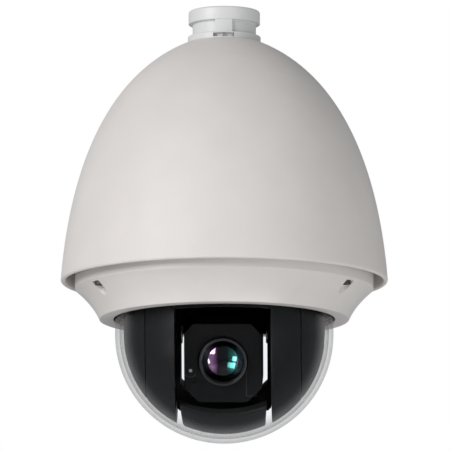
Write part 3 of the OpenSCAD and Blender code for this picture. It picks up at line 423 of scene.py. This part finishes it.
PAINTS = {
    "neck_paint": moulded("neck_paint", (0.70, 0.70, 0.70), 0.42, 0.9, 0.012, 0.03),
    "shell_paint": moulded("shell_paint", (0.71, 0.675, 0.65), 0.52, 1.4, 0.010, 0.02, gloss=0.35),
    "cover_paint": moulded("cover_paint", (0.69, 0.66, 0.635), 0.40, 1.1, 0.012, 0.025),
    "clear_dome": clear_dome(),
    "cast_metal": machined("cast_metal", (0.52, 0.53, 0.55), 0.52, (1, 1, 1), 0.2),
    "rubber": moulded("rubber", (0.025, 0.025, 0.025), 0.75, 0.5, 0.03, 0.15),
    "screw_steel": machined("screw_steel", (0.62, 0.62, 0.63), 0.30),
    "pulley_metal": machined("pulley_metal", (0.70, 0.71, 0.73), 0.28),
    "motor_steel": machined("motor_steel", (0.40, 0.40, 0.42), 0.38),
    "shroud_plastic": moulded("shroud_plastic", (0.010, 0.010, 0.0105), 0.38, 0.5, 0.003, 0.12,
                              dust=0.02, gloss=0.22),
    "block_plastic": moulded("block_plastic", (0.006, 0.006, 0.0065), 0.50, 0.5, 0.004, 0.15,
                             dust=0.02, gloss=0.12),
    "circuit_board": circuit(),
    "component": moulded("component", (0.03, 0.03, 0.035), 0.45, 0.4, 0.01, 0.2),
    "barrel_metal": moulded("barrel_metal", (0.016, 0.016, 0.018), 0.32, 0.5, 0.003, 0.15),
    "lens_glass": coated_lens(),
    "filter_glass": filter_glass(),
    "brass": machined("brass", (0.72, 0.55, 0.26), 0.30),
}

# ------------------------------------------------------------------ neck, shield and cover

FRONT_ANGLE = -math.pi / 2
SHIELD_STEPS = 256


def build_sun_shield():
    """Egg-shaped shell of revolution: one cubic curve outside, the same curve set inwards by the wall, and a
    half-round rim."""
    rim_r, rim_z = shield_box[1, 0], shield_box[0, 2]
    rim_r = round(rim_r / MM) * MM
    wall = 3.2 * MM
    half = wall / 2
    top = np.array([24.9, -21.8]) * MM
    foot = np.array([rim_r, rim_z + half])
    reach, fall = foot[0] - top[0], top[1] - foot[1]
    controls = [top, (top[0] + 0.669 * reach, top[1] - 0.1445 * fall),
                (top[0] + 0.934 * reach, top[1] - 0.561 * fall), foot]
    outside = bezier(controls, 120)
    inside = inset(outside, wall)[::-1]
    rim = arc(foot - [half, 0], half, 0, -180, 12)[1:-1]
    hole_r = 19.6 * MM
    outline = np.concatenate([
        [[hole_r, -22 * MM], [24.7 * MM, -22 * MM]], outside, rim, inside[:-1],
        [[hole_r, inside[-1, 1]]]])
    piece_for("sun_shield", *revolve(outline, SHIELD_STEPS))


def notched_columns(edges, steps):
    """Angles round a full turn with doubled ones at the edges of notches, and for each column the number of
    the notch that it lies in. edges is a list of (middle angle, half width in radians, number)."""
    angles, kinds = [], []
    cuts = sorted((middle - half, middle + half, number) for middle, half, number in edges)
    for k, (start, end, number) in enumerate(cuts):
        inside = np.linspace(start, end, 9)
        angles.append(inside)
        kinds.append(np.full(len(inside), number))
        following = cuts[(k + 1) % len(cuts)][0] + (2 * math.pi if k + 1 == len(cuts) else 0)
        count = max(2, int(steps * (following - end) / (2 * math.pi)))
        outside = np.linspace(end, following, count)
        angles.append(outside)
        kinds.append(np.full(count, -1))
    return np.concatenate(angles), np.concatenate(kinds)


def build_neck():
    """Turned neck whose outline changes in sectors: a key fills the groove and a slot cuts the collar."""
    ring_r, groove_r, collar_r = 24.1 * MM, 21.4 * MM, 24.6 * MM
    key_half, slot_half, slot_depth, key_set = 6 * MM, 7 * MM, 2.4 * MM, 0.6 * MM
    spigot_r, lower_r, bore_r = 19.3 * MM, 17.3 * MM, 14.5 * MM
    z_ring, z_groove, z_collar, z_seat, z_end = np.array([-9, -17.4, -22, -34, -47]) * MM
    slot_low, slot_high = z_collar + 1.0 * MM, z_collar + 3.6 * MM
    soft = 0.7 * MM
    upper = rounded([[ring_r, z_ring], [ring_r, 0], [bore_r, 0], [bore_r, z_end], [lower_r, z_end],
                     [lower_r, z_seat], [spigot_r, z_seat], [spigot_r, z_collar], [collar_r, z_collar],
                     [collar_r, slot_low], [collar_r, slot_low + 0.001 * MM],
                     [collar_r, slot_high - 0.001 * MM], [collar_r, slot_high],
                     [collar_r, z_groove], [groove_r, z_groove], [groove_r, z_ring]],
                    np.array([0.3, 1.6, 0.3, 0.3, 0.3, 0.3, 0, 0, 0.3, 0, 0, 0, 0, 0.8, 0.7, 0.5]) * MM)
    groove = (upper[:, 1] < z_ring + 0.5 * MM) & (upper[:, 1] > z_groove - 0.1 * MM) \
        & (upper[:, 0] > groove_r - soft)
    keyed = upper.copy()
    keyed[groove, 0] = np.maximum(keyed[groove, 0], ring_r - key_set)
    slotted = upper.copy()
    band = (upper[:, 0] > collar_r - 0.1 * MM) & (upper[:, 1] > slot_low + 0.0005 * MM) \
        & (upper[:, 1] < slot_high - 0.0005 * MM)
    slotted[band, 0] -= slot_depth
    both = keyed.copy()
    both[band, 0] -= slot_depth
    edges = []
    for middle in (FRONT_ANGLE, FRONT_ANGLE + math.pi):
        edges += [(middle, key_half / ring_r, 0)]
        rim = (slot_half - key_half) / 2 / ring_r
        edges += [(middle - key_half / ring_r - rim, rim, 1), (middle + key_half / ring_r + rim, rim, 1)]
    angles, kinds = notched_columns(edges, 160)
    outlines = np.stack([upper, both, slotted])[kinds + 1]
    r, z = outlines[..., 0].T, outlines[..., 1].T
    points = np.stack([r * np.cos(angles), r * np.sin(angles), z], -1)
    piece_for("mount_neck", points, grid_faces(len(upper), len(angles), True, True), sharp=28)


POCKET_R = 4.3 * MM
SCREW_CIRCLE = 94.5 * MM
SCREW_ANGLES = [math.pi / 2 + k * 2 * math.pi / 3 for k in range(3)]


def build_lower_cover():
    """Flared cover of revolution. Round each captive screw a half-round pocket is cut: a column at sideways
    offset t from the screw's radius keeps to the smaller of the flare and the pocket's own wall, which lies
    at c - sqrt(p^2 - t^2) for a pocket of radius p whose axis is at c."""
    outer = 100.4 * MM
    z_face, z_shoulder = cover_box[0, 2], cover_box[0, 2] + 20.9 * MM
    z_top, wall = cover_box[1, 2], 3 * MM
    opening, face_r = 74.3 * MM, 83.9 * MM
    z_pocket = z_shoulder - 1.5 * MM
    bend = (face_r + 0.27 * (outer - face_r), z_shoulder - 0.49 * (z_shoulder - z_face))
    flare = bezier([(outer, z_shoulder), bend, (face_r, z_face)], 40)
    pocket_top = np.interp(z_pocket, flare[::-1, 1], flare[::-1, 0])
    above = flare[flare[:, 1] > z_pocket + 0.05 * MM]
    under = flare[flare[:, 1] < z_pocket - 0.05 * MM]
    shoulder = rounded([[outer, z_top], [outer, z_shoulder], above[2], [outer - 5 * MM, z_top]],
                       [0, 0.5 * MM, 0, 0])[1:-2]
    inner = inset(flare, wall)
    inner = inner[inner[:, 1] < z_shoulder + 0.2 * MM][::-1]
    outline = np.concatenate([
        [[outer - wall, z_top], [outer - 0.4 * MM, z_top], [outer, z_top - 0.4 * MM]], shoulder, above[3:],
        [[pocket_top, z_pocket], [pocket_top, z_pocket]], under[:-2],
        rounded([under[-3], [face_r, z_face], [opening, z_face], [opening, z_face + wall], inner[2]],
                [0, 0.6 * MM, 0.5 * MM, 0.3 * MM, 0])[1:-1],
        inner[2:], [[outer - wall, z_shoulder + 0.1 * MM]]])
    first_under = 3 + len(shoulder) + len(above[3:]) + 1
    cut_rows = np.zeros(len(outline), bool)
    cut_rows[first_under:first_under + 1 + len(under[:-2])] = True
    swing = np.radians(np.linspace(-90, 90, 25))
    offset = POCKET_R * np.sin(swing)
    blocks = []
    for middle in SCREW_ANGLES:
        r = np.repeat(outline[:, 0][:, None], len(offset), 1)
        reach = np.sqrt(r ** 2 - offset ** 2)
        pocket_wall = SCREW_CIRCLE - POCKET_R * np.cos(swing)[None]
        reach = np.where(cut_rows[:, None], np.minimum(reach, pocket_wall), reach)
        side = np.repeat(offset[None], len(outline), 0)
        z = np.repeat(outline[:, 1][:, None], len(offset), 1)
        c, s = math.cos(middle), math.sin(middle)
        blocks.append(np.stack([reach * c - side * s, reach * s + side * c, z], -1))
        start = np.arcsin(POCKET_R / outline[:, 0])[:, None]
        t = np.linspace(0, 1, 80)[None]
        angle = middle + start + t * (2 * math.pi / 3 - 2 * start)
        blocks.append(np.stack([outline[:, :1] * np.cos(angle), outline[:, :1] * np.sin(angle),
                                outline[:, 1:] + 0 * angle], -1))
    points = np.concatenate(blocks, 1)
    piece_for("lower_cover", points, grid_faces(len(outline), points.shape[1], True, True), sharp=30)


def build_dome():
    """Clear bubble: a half sphere that runs up into a tube with a flange, as one closed wall."""
    outer_r, wall = DOME_R, DOME_WALL
    flange_r, z_top = dome_box[1, 0], dome_box[1, 2]
    z_flange = z_top - wall
    outside = arc((0, AXIS_Z), outer_r, -90, 0, 64)
    inside = arc((0, AXIS_Z), outer_r - wall, 0, -90, 64)
    outline = np.concatenate([outside, [[outer_r, z_flange], [flange_r, z_flange], [flange_r, z_top],
                                        [outer_r - wall, z_top]], inside])
    outline[:, 0] = np.maximum(outline[:, 0], 0)
    piece_for("dome_bubble", *revolve(outline, 192, close=False), sharp=40)


# ------------------------------------------------------------------ black shroud


def shroud_path(reach, steps, z_top):
    """Path across the shroud from front to back at one distance from the pan axis: straight down the front,
    half way round underneath, and straight up the back. reach is the radius of the half circle."""
    angle = np.linspace(math.pi, 2 * math.pi, steps)
    y = np.concatenate([[-1], np.cos(angle), [1]])
    down = np.concatenate([[0], np.sin(angle), [0]])
    rise = np.zeros(len(y))
    rise[[0, -1]] = z_top - AXIS_Z
    return reach[..., None] * y, AXIS_Z + reach[..., None] * down + rise


def along_shroud(loop, side, z_top):
    """A closed loop of (x, sphere radius) points carried along the shroud's path, where a point at x on a sphere
    of radius R runs at reach sqrt(R^2 - x^2). Both ends are closed by one flat face."""
    reach = np.sqrt(np.maximum(loop[:, 1] ** 2 - loop[:, 0] ** 2, 0))
    y, z = shroud_path(reach, 64, z_top)
    x = np.repeat(side * loop[:, 0][:, None], y.shape[1], 1)
    rows, columns = y.shape
    faces = [list(q) for q in grid_faces(rows, columns, close_rows=True)]
    faces += [[i * columns for i in range(rows)], [i * columns + columns - 1 for i in range(rows)][::-1]]
    return np.stack([x, y, z], -1), faces


def soft_lip(x_edge, inwards, soft):
    """Three points of a rounded edge at x_edge, from the side face up to the sphere, as (x, sphere radius)."""
    return np.array([[x_edge, SHROUD_R - soft], [x_edge + inwards * 0.15 * soft, SHROUD_R - 0.4 * soft],
                     [x_edge + inwards * 0.5 * soft, SHROUD_R - 0.1 * soft]])


def build_zone(x_from, x_to, side):
    """Curved cover of the shroud between two upright planes."""
    soft, steps = 0.5 * MM, 36
    outside = np.concatenate([[x_from + soft], np.linspace(x_from + 1.3 * soft, x_to - 1.3 * soft, steps),
                              [x_to - soft]])
    loop = np.concatenate([
        soft_lip(x_from, 1, soft), np.stack([outside, np.full(steps + 2, SHROUD_R)], -1),
        soft_lip(x_to, -1, soft)[::-1],
        np.stack([np.linspace(x_to, x_from, steps), np.full(steps, SHROUD_R - SHROUD_WALL)], -1)])
    return along_shroud(loop, side, cheek_box[1, 2])


def build_cheek_wall(x_from, side):
    """Upright inner wall of a cheek with the trunnion's hole. Each column joins a point of the hole's edge to the
    point of the wall's outline in the same direction from the tilt axis, first on one face, then on the other."""
    hole_r, soft = 6 * MM, 0.3 * MM
    reach = np.array([math.sqrt((SHROUD_R - SHROUD_WALL) ** 2 - x_from ** 2) + 0.3 * MM])
    y, z = shroud_path(reach, 96, cheek_box[1, 2])
    y, z = y[0], z[0]
    y = np.concatenate([y, np.linspace(y[-1], y[0], 26)[1:-1]])
    z = np.concatenate([z, np.full(24, z[0])]) - AXIS_Z
    angle = np.arctan2(z, y)
    loop = []
    for x, share, hole in ((soft, 0, hole_r), (0.01 * MM, 0, hole_r + soft), (0.01 * MM, 1, 0),
                           (SHROUD_WALL, 1, 0), (SHROUD_WALL, 0, hole_r)):
        across = share * y + (1 - share) * hole * np.cos(angle)
        up = share * z + (1 - share) * hole * np.sin(angle)
        loop.append(np.stack([np.full(len(y), side * (x_from + x)), across, up + AXIS_Z], -1))
    return np.stack(loop), grid_faces(5, len(y), True, True)


def build_cap(side):
    """End cover of the shroud: the part of a hollow sphere and tube beyond an upright plane."""
    x_from = cap_box[0, 0]
    inner_r = SHROUD_R - SHROUD_WALL
    soft, steps = 0.5 * MM, 40
    share = np.sin(np.linspace(0, math.pi / 2, steps))
    x_out = np.sort(SHROUD_R - (SHROUD_R - x_from - soft) * share)
    x_in = np.sort(inner_r - (inner_r - x_from) * share)[::-1]
    loop = np.concatenate([soft_lip(x_from, 1, soft), np.stack([x_out, np.full(steps, SHROUD_R)], -1),
                           np.stack([x_in, np.full(steps, inner_r)], -1)])
    return along_shroud(loop, side, cap_box[1, 2])


# ------------------------------------------------------------------ camera head

CRADLE_FOOT = 48.6 * MM


def build_chin():
    """Curved lower cover of the camera head. A loop in (x, distance from the tilt axis) goes round that axis,
    over angles counted downwards from the lens axis. Its inner part is filled for the lip's first degrees, the
    lip's front edge is a quarter round of radius f, which lowers the outside by f - sqrt(f^2 - (f - s)^2), and x
    is drawn in towards the bottom, in proportion to how far a row lies below the lip."""
    outer_r, inner_r, wall = SHROUD_R - 0.6 * MM, 62.49 * MM, 2.5 * MM
    half, taper, soft, edge = 29 * MM, 1.5 * MM, 1.2 * MM, 0.8 * MM
    start, sweep, lip = math.radians(45), math.radians(51), math.radians(3)
    bend = np.linspace(0, math.pi / 2, 6)
    flat = np.linspace(-half + edge, half - edge, 40)[1:-1]
    corner_x, corner_low = edge * (1 - np.sin(bend)), edge * (1 - np.cos(bend))
    x = np.concatenate([-half + corner_x[::-1], flat, half - corner_x])
    low = np.concatenate([corner_low[::-1], 0 * flat, corner_low])
    x_in = np.concatenate([[half, half - wall], np.linspace(half - wall, wall - half, 30), [wall - half, -half]])
    turn = soft / outer_r * (1 - np.cos(np.linspace(0, math.pi / 2, 7)))
    angle = start + np.concatenate([turn, [lip, lip], np.linspace(lip, sweep, 40)[1:]])
    rows = []
    for k, a in enumerate(angle):
        share = 1 - taper / half * (math.sin(a) - math.sin(start)) / (1 - math.sin(start))
        left = max(soft - (a - start) * outer_r, 0)
        lowered = low + soft - math.sqrt(max(soft ** 2 - left ** 2, 0))
        outside = np.stack([x * share, np.sqrt(outer_r ** 2 - (x * share) ** 2) - lowered], -1)
        floor_r = np.full(len(x_in), inner_r)
        if k > len(turn):
            floor_r[2:-2] = outer_r - wall
        inside = np.stack([x_in * share, np.sqrt(floor_r ** 2 - (x_in * share) ** 2)], -1)
        loop = np.concatenate([outside, inside])
        rows.append(np.stack([loop[:, 0], -loop[:, 1] * math.cos(a), -loop[:, 1] * math.sin(a)], -1))
    points = np.stack(rows)
    count, columns = points.shape[:2]
    faces = [list(q) for q in grid_faces(count, columns, False, True)]
    faces += [list(range(columns)), [(count - 1) * columns + j for j in range(columns)][::-1]]
    post_r, post_x, post_y, top, foot = 3 * MM, 12 * MM, -10 * MM, -CRADLE_FOOT, -outer_r + 3.2 * MM
    post, post_faces = revolve(rounded([[0, foot], [post_r, foot], [post_r, top], [0, top]],
                                       np.array([0, 0.3, 0.3, 0]) * MM), 32, close=False)
    posts = [(tilted(post + np.array([side * post_x, post_y, 0])), post_faces) for side in (-1, 1)]
    piece_for("chin_cover", *joined((tilted(points), faces), *posts), sharp=35)


def on_lens_axis(points):
    """Turns a surface of revolution, whose third number is the depth behind the lens barrel's front, so that it
    lies round the lens axis."""
    return tilted(np.stack([points[..., 0], points[..., 2] - LENS_FRONT, points[..., 1] - LENS_DROP], -1))


def build_lens():
    """Stepped lens barrel and the thick front lens in it, as outlines of (radius, depth) turned about the lens
    axis. The lens's front is part of a sphere of radius (r^2 + h^2) / 2h for a cap of radius r and height h."""
    corners = np.array([
        (16, 0), (16, 8.6), (18.4, 8.6), (18.4, 10.6), (16, 10.6), (16, 11.6), (14, 11.6), (14, 37.4), (8, 37.4),
        (8, 35.4), (12, 35.4), (12, 10), (12.4, 10), (12.4, 6), (14, 6), (14, 1.6), (14.4, 1.1), (14.4, 0.6),
        (14.8, 0.6), (14.9, 0)]) * MM
    soft = np.array([0.5] + [0.2] * 10 + [0] * 3 + [0.2] + [0.1] * 5) * MM
    barrel, faces = revolve(rounded(corners, soft, 4), 128)
    piece_for("lens_barrel", on_lens_axis(barrel), faces, sharp=40)
    lens_r, bulge, apex = 14 * MM, 5.4 * MM, 0.6 * MM
    ball = (lens_r ** 2 + bulge ** 2) / (2 * bulge)
    spread = np.linspace(0, math.asin(lens_r / ball), 40)
    front = np.stack([ball * np.sin(spread), apex + ball * (1 - np.cos(spread))], -1)
    lens, faces = revolve(np.concatenate([front, [[0, apex + bulge]]]), 128, close=False)
    piece_for("front_lens", on_lens_axis(lens), faces, sharp=40)


# ------------------------------------------------------------------ finished CAD pieces


def finished(node, bevel=0.25, paint=None):
    """A copy of a CAD node with its triangles welded into flat faces and its sharp edges rounded by bevel
    millimetres."""
    mesh = NODES[node].data.copy()
    mesh.name = node + "_finished"
    work = bmesh.new()
    work.from_mesh(mesh)
    bmesh.ops.remove_doubles(work, verts=work.verts, dist=WELD)
    bmesh.ops.dissolve_limit(work, angle_limit=math.radians(0.5), verts=work.verts, edges=work.edges)
    work.to_mesh(mesh)
    work.free()
    piece = finish_piece(node, mesh, paint or PAINTS[SLOT_OF[node]], 25)
    edges = piece.modifiers.new("edges", "BEVEL")
    edges.width = bevel * MM
    edges.segments = 2
    edges.limit_method = "ANGLE"
    edges.angle_limit = math.radians(40)
    edges.harden_normals = True


# ------------------------------------------------------------------ stage


LIGHT_TARGET = (0, 0, -0.15)
CAMERA_TARGET = (0.0005, 0, -0.14585)
VIEW_WIDTH = 0.303


def build_stage():
    """Pale floor well below the hanging camera, white surroundings and four soft lights."""
    world = bpy.data.worlds.new("studio")
    bpy.context.scene.world = world
    world.use_nodes = True
    tree = world.node_tree
    tree.nodes.clear()
    out = tree.nodes.new("ShaderNodeOutputWorld")
    seen, lit = tree.nodes.new("ShaderNodeBackground"), tree.nodes.new("ShaderNodeBackground")
    seen.inputs["Color"].default_value = (1, 1, 1, 1)
    lit.inputs["Color"].default_value = (0.97, 0.985, 1, 1)
    lit.inputs["Strength"].default_value = 0.34
    choose, rays = tree.nodes.new("ShaderNodeMixShader"), tree.nodes.new("ShaderNodeLightPath")
    tree.links.new(rays.outputs["Is Camera Ray"], choose.inputs[0])
    tree.links.new(lit.outputs[0], choose.inputs[1])
    tree.links.new(seen.outputs[0], choose.inputs[2])
    tree.links.new(choose.outputs[0], out.inputs["Surface"])

    floor_mesh = bpy.data.meshes.new("floor")
    half, depth = 6.0, -1.6
    corners = [(-half, -half, depth), (half, -half, depth), (half, half, depth), (-half, half, depth)]
    floor_mesh.from_pydata(corners, [], [(0, 1, 2, 3)])
    paint = Paint("floor_paint")
    patches = paint.noise(2, 3)
    floor_mesh.materials.append(paint.done(paint.principled(
        Base_Color=paint.mix(patches, (0.80, 0.80, 0.80), (0.84, 0.84, 0.84)), Roughness=0.8)))
    floor = bpy.data.objects.new("floor", floor_mesh)
    bpy.context.scene.collection.objects.link(floor)

    soft_light("key", (-1.5, -1.5, 0.60), 1.1, 30)
    soft_light("fill", (1.45, -1.60, -0.60), 0.6, 5)
    soft_light("low", (0.9, -1.3, -1.45), 1.0, 15)
    soft_light("left", (-1.7, -0.95, -0.75), 0.5, 3.5)


def soft_light(name, place, size, power):
    """Square area light aimed at the middle of the object."""
    data = bpy.data.lights.new(name, "AREA")
    data.shape, data.size, data.energy = "SQUARE", size, power
    light = bpy.data.objects.new(name, data)
    bpy.context.scene.collection.objects.link(light)
    light.location = place
    aim(light, LIGHT_TARGET)


def aim(thing, target):
    """Turns a light or camera so that its -Z axis points at the target and its top stays up."""
    way = Vector(target) - Vector(thing.location)
    thing.rotation_euler = way.to_track_quat("-Z", "Y").to_euler()


def build_camera():
    """Long lens a few metres off, a little below the object and looking slightly up."""
    data = bpy.data.cameras.new("view")
    camera = bpy.data.objects.new("view", data)
    bpy.context.scene.collection.objects.link(camera)
    away, turn, drop = 5.93, math.radians(1.2), 0.935
    camera.location = (away * math.sin(turn), -away * math.cos(turn), CAMERA_TARGET[2] - drop)
    aim(camera, CAMERA_TARGET)
    data.sensor_width = 36
    data.lens = data.sensor_width * math.hypot(away, drop) / VIEW_WIDTH
    data.clip_end = 50
    bpy.context.scene.camera = camera
    bpy.context.scene.view_settings.view_transform = "Standard"


build_camera()
build_stage()
build_sun_shield()
build_neck()
build_lower_cover()
build_dome()
for side, word in ((1, "right"), (-1, "left")):
    shell = build_zone(cheek_box[0, 0], cheek_box[1, 0], side)
    piece_for("cheek_" + word, *joined(shell, build_cheek_wall(cheek_box[0, 0], side)))
    piece_for("side_cap_" + word, *build_cap(side))
build_chin()
build_lens()

finished("face_plate", 0.6, face_plastic())
# The cover screws get steel darkened to a painted shade, standing for the shadow that fills their pockets.
finished("cover_screws", 0.25, machined("dark_screw_steel", (0.10, 0.10, 0.10), 0.55))
for node in sorted(set(NODES) - MADE):
    finished(node)
